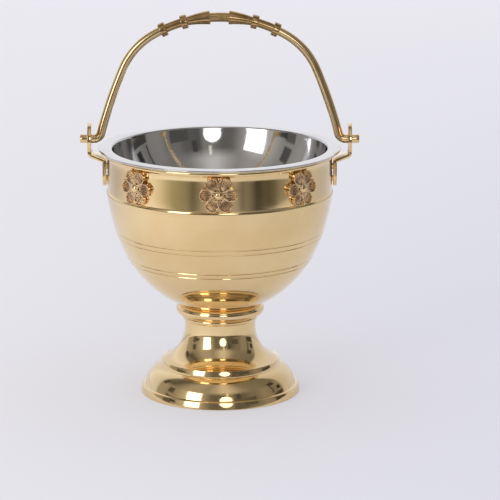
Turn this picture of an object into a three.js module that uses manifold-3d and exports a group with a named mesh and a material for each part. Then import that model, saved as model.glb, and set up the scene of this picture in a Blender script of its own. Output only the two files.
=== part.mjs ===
// Holy water bucket: a spun brass bowl on a turned collar and a spun foot, with a loose steel liner,
// a folding bail hung in two ears, and cast rosettes round its band.
// Millimetres and degrees, +Z up. The origin is on the ground under the middle of the foot,
// the ears lie on the X axis and the front of the bucket faces -Y.

import * as THREE from "three";
import { mergeVertices } from "three/addons/utils/BufferGeometryUtils.js";
import Module from "manifold-3d";

const wasm = await Module();
wasm.setup();

// Clearances, and how far a cutter runs past what it cuts
const GAP = 0.3;
const OVERRUN = 4;
const WELD = 0.0005;

// Foot: a spun shell, open underneath
const FOOT_WALL = 1.2;
const FOOT_BEAD_OUT_R = 40.7;
const FOOT_BEAD_H = 4.2;
const FOOT_BEAD_ROUND = 1.9;
const FOOT_FLARE_R = 39.1;
const FOOT_FLARE_BULGE = 1.3;
const FOOT_STEP_R = 30.7;
const FOOT_STEP_LOW_Z = 14.6;
const FOOT_STEP_H = 3.1;
const FOOT_STEP_ROUND = 0.5;
const NECK_R = 18.15;
const NECK_H = 4.7;
const NECK_SWEEP_OUT = 1.45;
const NECK_SWEEP_RISE = 3.6;
const FOOT_H = 37.7;

// Collar: one turned knop with a large bead over a small one
const KNOP_BEAD_R = 22.6;
const KNOP_BEAD_ROUND = 3.2;
const KNOP_BEAD_H = 6.2;
const KNOP_SMALL_R = 19.3;
const KNOP_SMALL_H = 2.6;
const KNOP_SMALL_ROUND = 0.9;

// Bowl: a spun shell that sits on the collar
const BOWL_WALL = 1;
const SEAT_R = 21.5;
const SHOULDER_R = 57.5;
const SHOULDER_H = 58.5;
const SHOULDER_PULL = 31.3;
const SHOULDER_LEAN_DEG = 7.4;
const SEAT_PULL = 21.9;
const SEAT_RISE_DEG = 26.3;
const STEP_H = 0.7;
const STEP_IN = 0.6;
const BAND_H = 19.4;
const RIM_ROUND = 1.4;
const RING_DROPS = [19.9, 22.4, 33.2, 35.5];
const RING_CUT_WIDTH = 0.9;
const RING_CUT_DEPTH = 0.3;

// Liner: a spun steel cup, part of a ball with its middle above the rim, under a flat flange
const LINER_WALL = 0.8;
const LINER_MIDDLE_RISE = 8.6;
const LINER_FLOOR_R = 10;
const FLANGE_OVERHANG = 3;
const FLANGE_CORNER = 1.1;

// Ears: bent strips, a strap on the band, a crank under the lip and an upright eye
const STRIP_T = 1.9;
const STRIP_W = 11.8;
const STRAP_STANDOFF = 0.4;
const STRAP_FOOT_RISE = 2;
const CRANK_DROP = 3.8;
const CRANK_RISE = 3;
const EYE_FLARE = 2.3;
const EYE_CLEARANCE = 3.45;
const PIN_RISE = 4.2;

// Ear rivets, dressed flush outside and headed inside
const RIVET_R = 1.5;
const RIVET_TAIL_R = 2.4;
const RIVET_TAIL_T = 0.8;
const RIVET_RISE = 3.9;
const RIVET_PITCH = 6.2;

// Rosettes and their round-headed pins
const ROSETTE_R = 9.3;
const PETALS = 6;
const PETAL_OVERLAP_SHARE = 1.2;
const ROSETTE_SEAT_SHARE = 0.34;
const ROSETTE_CREST_SHARE = 0.86;
const ROSETTE_SEAT_T = 1;
const ROSETTE_EDGE_T = 1.2;
const ROSETTE_CREST_T = 2;
const ROSETTE_ANGLES_DEG = [-135, -90, -45, 45, 90, 135];
const ROSETTE_NAMES = ["front_left", "front_middle", "front_right", "back_right", "back_middle", "back_left"];
const STUD_R = 1;
const STUD_HEAD_R = 2.25;
const STUD_HEAD_H = 1.8;
const STUD_TAIL_R = 1.9;
const STUD_TAIL_T = 0.7;

// Bail: two bent arms that meet in a turned grip; the arcs run from the crown down to the pins
const ROD_R = 2.2;
const CROWN_DEG = 30;
const HIP_DEG = 67;
const LEG_DEG = 75.2;
const HIP_SHARE = 0.551;
const LEG_SHARE = 3.664;
const BEND_R = 3.5;
const END_PLAY = 1.35;
const PIN_STICKOUT = 3.85;

// Grip: rings and cones measured along the rod from the crown
const GRIP_RING_R = 3.55;
const GRIP_RING_L = 3.2;
const GRIP_OUTER_RING_S = 29.2;
const GRIP_INNER_RING_S = 17.9;
const GRIP_CONE_S = 4.7;
const GRIP_CONE_R = 3.5;
const GRIP_MIDDLE_R = 2.35;
const SOCKET_DEPTH = 2.4;

// Centre bolt that clamps bowl, collar and foot
const BOLT_R = 3;
const BOLT_HEAD_R = 6;
const BOLT_HEAD_H = 3;
const BOLT_TAIL = 2;
const WASHER_R = 8;
const WASHER_T = 1;
const NUT_FLATS = 10;
const NUT_H = 5;

// Counts of facets
const WIDE_STEPS = 40;
const SMALL_STEPS = 12;
const SIDE_STEPS = 8;
const PETAL_STEPS = 6;
const HALVINGS = 50;

// Heights and places that more than one piece follows
const BOLT_BORE_R = BOLT_R + GAP;
const SEAT_Z = FOOT_H + KNOP_SMALL_H + KNOP_BEAD_H;
const BOWL_FLOOR_Z = SEAT_Z + BOWL_WALL;
const SHOULDER_Z = SEAT_Z + SHOULDER_H;
const BAND_R = SHOULDER_R - STEP_IN;
const RIM_Z = SHOULDER_Z + BAND_H;
const FLANGE_R = BAND_R + RIM_ROUND + FLANGE_OVERHANG;
const FLANGE_UNDER_Z = RIM_Z + RIM_ROUND + GAP;
const FLANGE_Z = FLANGE_UNDER_Z + LINER_WALL;
const PIN_Z = FLANGE_Z + PIN_RISE;
const EYE_R = STRIP_W / 2 + EYE_FLARE;
const EYE_IN_X = FLANGE_R + EYE_CLEARANCE;
const BAND_INSIDE_R = (BAND_R - BOWL_WALL) * Math.cos(Math.PI / WIDE_STEPS) - GAP;

const at = (x, y) => new THREE.Vector2(x, y);
const radians = THREE.MathUtils.degToRad;

// Materials
const metal = (name, color, roughness) =>
  new THREE.MeshStandardMaterial({ name, color, roughness, metalness: 1 });
const spunBrass = () => metal("spun_brass", 0xd6b06a, 0.16);
const turnedBrass = () => metal("turned_brass", 0xcfa558, 0.12);
const castBronze = () => metal("cast_bronze", 0x9b7b4c, 0.38);
const rodBrass = () => metal("rod_brass", 0xc9a05a, 0.18);
const steel = () => metal("steel", 0xd3d4d8, 0.12);

// Points of a circular arc in (radius, height), angles in degrees
function arc(middle, radius, fromDeg, toDeg, steps) {
  return Array.from({ length: steps + 1 }, (_, i) => {
    const a = radians(fromDeg + ((toDeg - fromDeg) * i) / steps);
    return at(middle.x + radius * Math.cos(a), middle.y + radius * Math.sin(a));
  });
}

// A turned body: an outline in (radius, height) spun round the Z axis
function turned(outline, steps) {
  const closes = outline[0].x === 0 && outline[outline.length - 1].x === 0;
  const ring = closes ? outline : [...outline, outline[0].clone()];
  return new THREE.LatheGeometry(ring, steps).rotateX(Math.PI / 2);
}

// A closed geometry as a solid that can be cut, and back
function toSolid(geometry) {
  const bare = geometry.clone();
  bare.deleteAttribute("normal");
  bare.deleteAttribute("uv");
  const welded = mergeVertices(bare, WELD);
  const corners = Array.from(welded.index.array);
  const kept = [];
  for (let i = 0; i < corners.length; i += 3) {
    const [a, b, c] = corners.slice(i, i + 3);
    if (a !== b && b !== c && c !== a) kept.push(a, b, c);
  }
  const mesh = new wasm.Mesh({
    numProp: 3,
    vertProperties: welded.attributes.position.array,
    triVerts: new Uint32Array(kept),
  });
  return new wasm.Manifold(mesh);
}
function toGeometry(solid) {
  const mesh = solid.getMesh();
  const geometry = new THREE.BufferGeometry();
  geometry.setAttribute("position", new THREE.BufferAttribute(mesh.vertProperties, 3));
  geometry.setIndex(new THREE.BufferAttribute(mesh.triVerts, 1));
  geometry.computeVertexNormals();
  return geometry;
}

// A round cutter along +X, from the axis of the bucket outwards, at a height
function radialCutter(radius, height, from, to) {
  const length = to - from;
  return toSolid(
    new THREE.CylinderGeometry(radius, radius, length, SMALL_STEPS)
      .rotateZ(Math.PI / 2)
      .translate(from + length / 2, 0, height),
  );
}

// A body turned about the X axis: its outline is in (radius, distance from the bucket's axis)
const turnedOutwards = (outline, steps) => turned(outline, steps).rotateY(Math.PI / 2);

const bucket = new THREE.Group();
const foot = new THREE.Group();
const body = new THREE.Group();
const bail = new THREE.Group();
bucket.add(foot, body, bail);

function place(group, name, geometry, material) {
  const mesh = new THREE.Mesh(geometry, material);
  mesh.name = name;
  group.add(mesh);
  return mesh;
}

// Foot

// The skin of the foot from the ground up to its top, drawn in by the wall for the inside
function footSkin(inset) {
  const stepLow = at(FOOT_STEP_R - inset, FOOT_STEP_LOW_Z - inset);
  const flareLow = at(FOOT_FLARE_R - inset, FOOT_BEAD_H);
  const chord = stepLow.clone().sub(flareLow);
  const outwards = at(chord.y, -chord.x).setLength(2 * FOOT_FLARE_BULGE);
  const bulge = flareLow.clone().lerp(stepLow, 0.5).add(outwards);
  const flare = new THREE.QuadraticBezierCurve(flareLow, bulge, stepLow);
  const stepTop = FOOT_STEP_LOW_Z + FOOT_STEP_H - inset;
  const sweep = new THREE.QuadraticBezierCurve(
    at(FOOT_STEP_R - FOOT_STEP_ROUND - inset, stepTop),
    at(NECK_R + NECK_SWEEP_OUT - inset, stepTop + NECK_SWEEP_RISE),
    at(NECK_R - inset, FOOT_H - NECK_H - inset),
  );
  return [
    ...flare.getPoints(4),
    at(FOOT_STEP_R - inset, stepTop - FOOT_STEP_ROUND),
    ...sweep.getPoints(6),
  ];
}
const footBeadMiddle = at(FOOT_BEAD_OUT_R - FOOT_BEAD_ROUND, FOOT_BEAD_H / 2);
const footOutline = [
  at(FOOT_FLARE_R - FOOT_WALL, 0),
  at(footBeadMiddle.x, 0),
  ...arc(footBeadMiddle, FOOT_BEAD_ROUND, -60, 60, 4),
  ...footSkin(0),
  at(NECK_R, FOOT_H),
  at(BOLT_BORE_R, FOOT_H),
  at(BOLT_BORE_R, FOOT_H - FOOT_WALL),
  at(NECK_R - FOOT_WALL, FOOT_H - FOOT_WALL),
  ...footSkin(FOOT_WALL).reverse(),
];
place(foot, "foot", turned(footOutline, WIDE_STEPS), spunBrass());

// Collar

const knopMiddle = at(KNOP_BEAD_R - KNOP_BEAD_ROUND, SEAT_Z - KNOP_BEAD_H / 2);
const collarOutline = [
  at(BOLT_BORE_R, FOOT_H),
  at(KNOP_SMALL_R - KNOP_SMALL_ROUND, FOOT_H),
  at(KNOP_SMALL_R, FOOT_H + KNOP_SMALL_H / 2),
  at(KNOP_SMALL_R - KNOP_SMALL_ROUND, FOOT_H + KNOP_SMALL_H),
  ...arc(at(0, 0), 1, -90, 90, 8).map((p) =>
    at(knopMiddle.x + p.x * KNOP_BEAD_ROUND, knopMiddle.y + (p.y * KNOP_BEAD_H) / 2),
  ),
  at(BOLT_BORE_R, SEAT_Z),
];
place(foot, "collar", turned(collarOutline, WIDE_STEPS), turnedBrass());

// Bowl

// The bowl's side from the shoulder down to the seat, and the same side drawn in by the wall
const lean = radians(SHOULDER_LEAN_DEG);
const rise = radians(SEAT_RISE_DEG);
const shoulder = at(SHOULDER_R, SHOULDER_Z);
const seat = at(SEAT_R, SEAT_Z);
const bowlSide = new THREE.CubicBezierCurve(
  shoulder,
  shoulder.clone().add(at(-Math.sin(lean), -Math.cos(lean)).multiplyScalar(SHOULDER_PULL)),
  seat.clone().add(at(Math.cos(rise), Math.sin(rise)).multiplyScalar(SEAT_PULL)),
  seat,
);
function sidePoint(t, inset) {
  const along = bowlSide.getTangent(t);
  return bowlSide.getPoint(t).add(at(along.y, -along.x).multiplyScalar(inset));
}
function shareAtDrop(drop) {
  let [high, low] = [0, 1];
  for (let i = 0; i < HALVINGS; i += 1) {
    const middle = (high + low) / 2;
    if (SHOULDER_Z - bowlSide.getPoint(middle).y < drop) high = middle;
    else low = middle;
  }
  return high;
}

// The outside carries the engraved rings, each a shallow V
const smoothShares = Array.from({ length: SIDE_STEPS + 1 }, (_, i) => i / SIDE_STEPS);
const ringShares = RING_DROPS.map((drop) => [
  shareAtDrop(drop - RING_CUT_WIDTH / 2),
  shareAtDrop(drop),
  shareAtDrop(drop + RING_CUT_WIDTH / 2),
]);
const clearOfRings = (t) => ringShares.every(([top, , low]) => t < top || t > low);
const bowlOutside = [
  ...smoothShares.filter(clearOfRings).map((t) => ({ t, cut: 0 })),
  ...ringShares.flatMap(([top, middle, low]) => [
    { t: top, cut: 0 },
    { t: middle, cut: RING_CUT_DEPTH },
    { t: low, cut: 0 },
  ]),
]
  .sort((a, b) => b.t - a.t)
  .map(({ t, cut }) => sidePoint(t, cut));
const bowlInside = smoothShares.map((t) => sidePoint(t, BOWL_WALL));
const rimMiddle = at(BAND_R, RIM_Z);
const bowlOutline = [
  at(BOLT_BORE_R, SEAT_Z),
  ...bowlOutside,
  at(BAND_R, SHOULDER_Z + STEP_H),
  at(BAND_R, RIM_Z - RIM_ROUND),
  ...arc(rimMiddle, RIM_ROUND, -60, 150, 7),
  at(BAND_R - BOWL_WALL, RIM_Z),
  at(BAND_R - BOWL_WALL, SHOULDER_Z + STEP_H),
  ...bowlInside,
  at(SEAT_R - 2 * BOWL_WALL, BOWL_FLOOR_Z),
  at(BOLT_BORE_R, BOWL_FLOOR_Z),
];

// Holes through the band for the pins of the rosettes and the rivets of the ears
const rosetteZ = (SHOULDER_Z + STEP_H + RIM_Z - RIM_ROUND) / 2;
const strapFootZ = SHOULDER_Z + STRAP_FOOT_RISE;
const rivetHeights = [strapFootZ + RIVET_RISE, strapFootZ + RIVET_RISE + RIVET_PITCH];
const holeFrom = BAND_R - BOWL_WALL - OVERRUN;
const holeTo = BAND_R + OVERRUN;
let bowlSolid = toSolid(turned(bowlOutline, WIDE_STEPS));
for (const angle of ROSETTE_ANGLES_DEG) {
  const hole = radialCutter(STUD_R + GAP, rosetteZ, holeFrom, holeTo);
  bowlSolid = bowlSolid.subtract(hole.rotate([0, 0, angle]));
}
for (const angle of [0, 180]) {
  for (const height of rivetHeights) {
    const hole = radialCutter(RIVET_R + GAP, height, holeFrom, holeTo);
    bowlSolid = bowlSolid.subtract(hole.rotate([0, 0, angle]));
  }
}
place(body, "outer_bowl", toGeometry(bowlSolid), spunBrass());

// Liner

// The cup just clears the inside of the band at the height of the rim, and so passes the flat tails
// below it. A rounded corner leads from the cup to the flange, which lies over the rim.
const linerRimR = BAND_INSIDE_R - GAP;
const linerMiddleZ = RIM_Z + RIM_ROUND + LINER_MIDDLE_RISE;
const linerOutR = Math.hypot(linerRimR, LINER_MIDDLE_RISE);
const floorDeg = THREE.MathUtils.radToDeg(Math.asin(LINER_FLOOR_R / linerOutR));
const rimDeg = THREE.MathUtils.radToDeg(Math.acos(LINER_MIDDLE_RISE / linerOutR));
const flangeMiddle = at(FLANGE_R - LINER_WALL / 2, FLANGE_UNDER_Z + LINER_WALL / 2);
function linerSkin(inset) {
  const cup = arc(at(0, linerMiddleZ), linerOutR - inset, floorDeg - 90, rimDeg - 90, SIDE_STEPS);
  const cupEnd = cup[cup.length - 1];
  const flangeZ = FLANGE_UNDER_Z + inset;
  const corner = new THREE.QuadraticBezierCurve(
    cupEnd,
    at(cupEnd.x + (flangeZ - cupEnd.y) / Math.tan(radians(rimDeg)), flangeZ),
    at(linerRimR + FLANGE_CORNER - inset, flangeZ),
  );
  return [...cup, ...corner.getPoints(3).slice(1)];
}
const linerFloor = linerSkin(0)[0];
const linerFloorInside = linerSkin(LINER_WALL)[0];
const linerOutline = [
  at(0, linerFloor.y),
  ...linerSkin(0),
  ...arc(flangeMiddle, LINER_WALL / 2, -90, 90, 4),
  ...linerSkin(LINER_WALL).reverse(),
  at(0, linerFloorInside.y),
];
place(body, "liner", turned(linerOutline, WIDE_STEPS), steel());

// Ears

// The strip seen from the front: its middle line thickened to both sides, corners mitred
const strapMidX = BAND_R + STRAP_STANDOFF + STRIP_T / 2;
const eyeMidX = EYE_IN_X + STRIP_T / 2;
const pinEndX = EYE_IN_X + STRIP_T + PIN_STICKOUT;
const crankZ = RIM_Z - CRANK_DROP;
const stripRun = [
  at(strapMidX, strapFootZ),
  at(strapMidX, crankZ),
  at(eyeMidX, crankZ + CRANK_RISE),
  at(eyeMidX, PIN_Z + EYE_R),
];
function besideRun(run, side) {
  return run.map((point, i) => {
    const before = point.clone().sub(run[Math.max(i - 1, 0)]).normalize();
    const after = run[Math.min(i + 1, run.length - 1)].clone().sub(point).normalize();
    const along = before.clone().add(after).normalize();
    const stretch = 1 / Math.max(along.dot(before), along.dot(after));
    return point.clone().add(at(along.y, -along.x).multiplyScalar(side * stretch));
  });
}
const stripSection = [...besideRun(stripRun, STRIP_T / 2), ...besideRun(stripRun, -STRIP_T / 2).reverse()];

// The strip seen from the side: a strap with a round foot that widens into the round eye
const stripHalfW = STRIP_W / 2;
const eyeJoin = Math.acos(stripHalfW / EYE_R);
const stripFace = new THREE.Shape();
stripFace.absarc(0, strapFootZ + stripHalfW, stripHalfW, Math.PI, 2 * Math.PI, false);
stripFace.absarc(0, PIN_Z, EYE_R, -eyeJoin, Math.PI + eyeJoin, false);
const widest = 2 * (EYE_R + OVERRUN);
const stripBlank = toSolid(
  new THREE.ExtrudeGeometry(new THREE.Shape(stripSection), { depth: widest, bevelEnabled: false })
    .rotateX(Math.PI / 2)
    .translate(0, widest / 2, 0),
);
const stripProfile = toSolid(
  new THREE.ExtrudeGeometry(stripFace, { depth: pinEndX, bevelEnabled: false, curveSegments: SMALL_STEPS })
    .rotateX(Math.PI / 2)
    .rotateZ(Math.PI / 2),
);
let earSolid = stripBlank.intersect(stripProfile);
earSolid = earSolid.subtract(radialCutter(ROD_R + GAP, PIN_Z, eyeMidX - OVERRUN, eyeMidX + OVERRUN));
for (const height of rivetHeights) {
  earSolid = earSolid.subtract(radialCutter(RIVET_R + GAP, height, strapMidX - OVERRUN, strapMidX + OVERRUN));
}
const earGeometry = toGeometry(earSolid);

// Rivets: a shank through strap and band, with a flat tail inside the band
const rivetOutline = [
  at(0, BAND_INSIDE_R - RIVET_TAIL_T),
  at(RIVET_TAIL_R, BAND_INSIDE_R - RIVET_TAIL_T),
  at(RIVET_TAIL_R, BAND_INSIDE_R),
  at(RIVET_R, BAND_INSIDE_R),
  at(RIVET_R, strapMidX + STRIP_T / 2),
  at(0, strapMidX + STRIP_T / 2),
];
const rivetGeometry = turnedOutwards(rivetOutline, SMALL_STEPS);

for (const [sideName, angle] of [["right", 0], ["left", 180]]) {
  const ear = new THREE.Group();
  ear.rotation.z = radians(angle);
  body.add(ear);
  place(ear, `ear_${sideName}`, earGeometry, turnedBrass());
  for (const [i, rank] of ["lower", "upper"].entries()) {
    const rivet = place(ear, `ear_rivet_${sideName}_${rank}`, rivetGeometry, turnedBrass());
    rivet.position.z = rivetHeights[i];
  }
}

// Rosettes

// The outline of the flower: round petals set side by side, the first pointing along the band
const petalPitch = (2 * Math.PI) / PETALS;
const petalSpread = PETAL_OVERLAP_SHARE * Math.sin(petalPitch / 2);
const petalOut = ROSETTE_R / (1 + petalSpread);
const petalRound = petalOut * petalSpread;
function flowerRadius(angle) {
  const off = angle - petalPitch * Math.round(angle / petalPitch);
  const across = petalOut * Math.sin(off);
  return petalOut * Math.cos(off) + Math.sqrt(petalRound ** 2 - across ** 2);
}

// Rings of the flower's surface, from the pin hole over the front, round the edge and back:
// a share of the way out to the outline, and a thickness off the band
const holeRing = (thick) => ({ reach: () => STUD_R + GAP, thick });
const petalRing = (share, thick) => ({ reach: (angle) => share * flowerRadius(angle), thick });
const flowerRings = [
  holeRing(ROSETTE_SEAT_T),
  petalRing(ROSETTE_SEAT_SHARE, ROSETTE_SEAT_T),
  petalRing(ROSETTE_CREST_SHARE, ROSETTE_CREST_T),
  petalRing(1, ROSETTE_EDGE_T),
  petalRing(1, 0),
  holeRing(0),
];
const flowerBack = BAND_R + GAP;
function flowerGeometry() {
  const around = PETALS * PETAL_STEPS;
  const points = [];
  for (const ring of flowerRings) {
    for (let i = 0; i < around; i += 1) {
      const angle = (2 * Math.PI * i) / around;
      const reach = ring.reach(angle);
      const turn = (reach * Math.cos(angle)) / flowerBack;
      const out = flowerBack + ring.thick;
      points.push(out * Math.cos(turn), out * Math.sin(turn), reach * Math.sin(angle));
    }
  }
  const faces = [];
  flowerRings.forEach((_, r) => {
    const next = (r + 1) % flowerRings.length;
    for (let i = 0; i < around; i += 1) {
      const j = (i + 1) % around;
      const [a, b, c, d] = [r * around + i, r * around + j, next * around + j, next * around + i];
      faces.push(a, d, b, b, d, c);
    }
  });
  const geometry = new THREE.BufferGeometry();
  geometry.setAttribute("position", new THREE.Float32BufferAttribute(points, 3));
  geometry.setIndex(faces);
  geometry.computeVertexNormals();
  return geometry;
}
const rosetteGeometry = flowerGeometry();

// Pins: a domed head over the flower, a shank through it and the band, and a flat tail inside
const studSeat = flowerBack + ROSETTE_SEAT_T + GAP;
const studOutline = [
  at(0, BAND_INSIDE_R - STUD_TAIL_T),
  at(STUD_TAIL_R, BAND_INSIDE_R - STUD_TAIL_T),
  at(STUD_TAIL_R, BAND_INSIDE_R),
  at(STUD_R, BAND_INSIDE_R),
  at(STUD_R, studSeat),
  ...arc(at(0, 0), 1, 0, 90, 4).map((p) => at(p.x * STUD_HEAD_R, studSeat + p.y * STUD_HEAD_H)),
];
studOutline[studOutline.length - 1].x = 0;
const studGeometry = turnedOutwards(studOutline, SMALL_STEPS);

ROSETTE_ANGLES_DEG.forEach((angle, i) => {
  const spot = new THREE.Group();
  spot.rotation.z = radians(angle);
  spot.position.z = rosetteZ;
  body.add(spot);
  place(spot, `rosette_${ROSETTE_NAMES[i]}`, rosetteGeometry, castBronze());
  place(spot, `rosette_pin_${ROSETTE_NAMES[i]}`, studGeometry, turnedBrass());
});

// Bail

// One half of the rod's middle line, seen from the front, from the pin's end up to the crown
const [crownTurn, hipTurn, legTurn] = [CROWN_DEG, HIP_DEG, LEG_DEG].map(radians);
const reachShare =
  Math.sin(crownTurn) +
  HIP_SHARE * (Math.sin(hipTurn) - Math.sin(crownTurn)) +
  LEG_SHARE * (Math.sin(legTurn) - Math.sin(hipTurn));
const crownR = (EYE_IN_X - END_PLAY - BEND_R * Math.sin(legTurn)) / reachShare;
const hipR = HIP_SHARE * crownR;
const legR = LEG_SHARE * crownR;
const bendTop = PIN_Z + BEND_R * (1 - Math.cos(legTurn));
const hipLowZ = bendTop + legR * (Math.cos(hipTurn) - Math.cos(legTurn));
const crownLowZ = hipLowZ + hipR * (Math.cos(crownTurn) - Math.cos(hipTurn));
const crownMiddle = at(0, crownLowZ - crownR * Math.cos(crownTurn));
const hipMiddle = crownMiddle.clone().add(
  at(Math.sin(crownTurn), Math.cos(crownTurn)).multiplyScalar(crownR - hipR),
);
const legMiddle = hipMiddle.clone().add(
  at(Math.sin(hipTurn), Math.cos(hipTurn)).multiplyScalar(hipR - legR),
);
const bendMiddle = legMiddle.clone().add(
  at(Math.sin(legTurn), Math.cos(legTurn)).multiplyScalar(legR + BEND_R),
);
const socketBottomS = GRIP_OUTER_RING_S + GRIP_RING_L / 2 - SOCKET_DEPTH;
const armTopDeg = THREE.MathUtils.radToDeg((socketBottomS + GAP) / crownR);
const armLine = [
  at(pinEndX, PIN_Z),
  ...arc(bendMiddle, BEND_R, 270, 270 - LEG_DEG, 6),
  ...arc(legMiddle, legR, 90 - LEG_DEG, 90 - HIP_DEG, 5).slice(1),
  ...arc(hipMiddle, hipR, 90 - HIP_DEG, 90 - CROWN_DEG, 5).slice(1),
  ...arc(crownMiddle, crownR, 90 - CROWN_DEG, 90 - armTopDeg, 1).slice(1),
];

// A line through chosen stations, so that the tight bend has as many steps as it needs
class StationLine extends THREE.Curve {
  constructor(stations) {
    super();
    this.stations = stations;
  }
  getPoint(t) {
    return this.stations[Math.round(t * (this.stations.length - 1))].clone();
  }
  getPointAt(t) {
    return this.getPoint(t);
  }
  getTangentAt(t) {
    const last = this.stations.length - 1;
    const i = Math.round(t * last);
    const before = this.stations[i].clone().sub(this.stations[Math.max(i - 1, 0)]).normalize();
    const after = this.stations[Math.min(i + 1, last)].clone().sub(this.stations[i]).normalize();
    return before.add(after).normalize();
  }
}
const rodSection = new THREE.Shape().absarc(0, 0, ROD_R, 0, 2 * Math.PI);
for (const [sideName, side] of [["right", 1], ["left", -1]]) {
  const stations = armLine.map((p) => new THREE.Vector3(side * p.x, 0, p.y));
  const arm = new THREE.ExtrudeGeometry(rodSection, {
    steps: stations.length - 1,
    curveSegments: SMALL_STEPS / 2,
    extrudePath: new StationLine(stations),
  });
  place(bail, `bail_arm_${sideName}`, arm, rodBrass());
}

// The grip is turned straight and then bent to the crown
const ringSpan = (middle) => [middle - GRIP_RING_L / 2, middle + GRIP_RING_L / 2];
const [outerRingIn, outerRingOut] = ringSpan(GRIP_OUTER_RING_S);
const [innerRingIn, innerRingOut] = ringSpan(GRIP_INNER_RING_S);
const halfGrip = [
  at(GRIP_MIDDLE_R, GRIP_CONE_S),
  at(GRIP_CONE_R, GRIP_CONE_S),
  at((GRIP_CONE_R + ROD_R) / 2, (GRIP_CONE_S + innerRingIn) / 2),
  at(ROD_R, innerRingIn),
  at(GRIP_RING_R, innerRingIn),
  at(GRIP_RING_R, innerRingOut),
  at(ROD_R, innerRingOut),
  at(ROD_R, (innerRingOut + outerRingIn) / 2),
  at(ROD_R, outerRingIn),
  at(GRIP_RING_R, outerRingIn),
  at(GRIP_RING_R, outerRingOut),
  at(ROD_R + GAP, outerRingOut),
  at(ROD_R + GAP, socketBottomS),
  at(0, socketBottomS),
];
const gripOutline = [...halfGrip.map((p) => at(p.x, -p.y)).reverse(), at(GRIP_MIDDLE_R, 0), ...halfGrip];
const gripGeometry = turned(gripOutline, SMALL_STEPS + SMALL_STEPS / 3);
const gripPoints = gripGeometry.getAttribute("position");
for (let i = 0; i < gripPoints.count; i += 1) {
  const turn = gripPoints.getZ(i) / crownR;
  const out = crownR - gripPoints.getX(i);
  gripPoints.setXYZ(i, out * Math.sin(turn), gripPoints.getY(i), out * Math.cos(turn));
}
const grip = place(bail, "bail_grip", gripGeometry, turnedBrass());
grip.position.z = crownMiddle.y;

// Centre bolt, washers and nut

const washerOutline = [
  at(BOLT_BORE_R, 0),
  at(WASHER_R, 0),
  at(WASHER_R, WASHER_T),
  at(BOLT_BORE_R, WASHER_T),
];
const upperWasher = place(body, "bolt_washer_upper", turned(washerOutline, SMALL_STEPS * 2), steel());
upperWasher.position.z = BOWL_FLOOR_Z;
const lowerWasherZ = FOOT_H - FOOT_WALL - WASHER_T;
const lowerWasher = place(foot, "bolt_washer_lower", turned(washerOutline, SMALL_STEPS * 2), steel());
lowerWasher.position.z = lowerWasherZ;

const nutZ = lowerWasherZ - NUT_H;
const nutCorner = NUT_FLATS / 2 / Math.cos(Math.PI / 6);
const nutShape = new THREE.Shape(arc(at(0, 0), nutCorner, 0, 300, 5));
nutShape.holes.push(new THREE.Path().absarc(0, 0, BOLT_BORE_R, 0, 2 * Math.PI, true));
const nutGeometry = new THREE.ExtrudeGeometry(nutShape, {
  depth: NUT_H,
  bevelEnabled: false,
  curveSegments: SMALL_STEPS,
});
const nut = place(foot, "bolt_nut", nutGeometry, steel());
nut.position.z = nutZ;

const boltHeadZ = BOWL_FLOOR_Z + WASHER_T;
const boltOutline = [
  at(0, nutZ - BOLT_TAIL),
  at(BOLT_R, nutZ - BOLT_TAIL),
  at(BOLT_R, boltHeadZ),
  at(BOLT_HEAD_R, boltHeadZ),
  at(BOLT_HEAD_R, boltHeadZ + BOLT_HEAD_H / 2),
  at(BOLT_HEAD_R / 2, boltHeadZ + BOLT_HEAD_H),
  at(0, boltHeadZ + BOLT_HEAD_H),
];
place(body, "centre_bolt", turned(boltOutline, SMALL_STEPS * 2), steel());

export default bucket;
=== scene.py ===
# %% [markdown]
# Holy water bucket.
#
# The bucket is a brass bowl on a turned collar and a spun foot. A loose steel liner sits in the bowl, six
# cast flowers are pinned round its band, and a bail hangs in two riveted ears. Its solids come packed at
# their real size, with their joints. This notebook keeps every place and size of them, and models each piece
# again finely enough for a close look.

from math import acos, asin, cos, degrees, pi, radians, sin, tan

import bpy
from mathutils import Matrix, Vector


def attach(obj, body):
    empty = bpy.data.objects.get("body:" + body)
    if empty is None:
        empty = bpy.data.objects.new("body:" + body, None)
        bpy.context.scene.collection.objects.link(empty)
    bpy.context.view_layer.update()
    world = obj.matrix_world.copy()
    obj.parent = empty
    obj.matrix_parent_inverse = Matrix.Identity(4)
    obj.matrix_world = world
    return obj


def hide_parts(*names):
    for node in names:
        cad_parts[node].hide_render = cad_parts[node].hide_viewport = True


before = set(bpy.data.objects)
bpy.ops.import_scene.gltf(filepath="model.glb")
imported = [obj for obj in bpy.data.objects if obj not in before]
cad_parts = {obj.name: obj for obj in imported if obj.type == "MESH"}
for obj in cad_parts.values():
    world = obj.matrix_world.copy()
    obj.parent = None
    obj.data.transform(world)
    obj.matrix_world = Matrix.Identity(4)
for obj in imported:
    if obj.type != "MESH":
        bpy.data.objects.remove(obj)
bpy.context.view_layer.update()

# %% [markdown]
# The metal here was shaped on a lathe, bent from strip and rod, or cast. All sizes are written in
# millimetres, as on a workshop drawing, and one function turns them into Blender's metres.

# %% Units and selection
def mm(value):
    return value / 1000


def deselect():
    """Leaves edit mode and selects nothing."""
    if bpy.context.object and bpy.context.object.mode != "OBJECT":
        bpy.ops.object.mode_set(mode="OBJECT")
    bpy.ops.object.select_all(action="DESELECT")


def select_only(*objects):
    deselect()
    for each in objects:
        each.select_set(True)
    bpy.context.view_layer.objects.active = objects[0]
    return objects[0]


def in_mm(corner):
    return [round(1000 * value, 2) for value in corner]


# %% [markdown]
# The camera stands a metre and a half away with a long lens, a little above the rim, so that the mouth shows
# as a flat oval. It looks past the bucket's axis to one side, because the bucket stands left of the middle.

# %% Camera
CAMERA_DISTANCE = 1500
CAMERA_ELEVATION_DEG = 13.25
TARGET = (15.3, 0, 73.3)
LENS = 211.8
SENSOR = 36
CLIP = (100, 50000)

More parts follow.
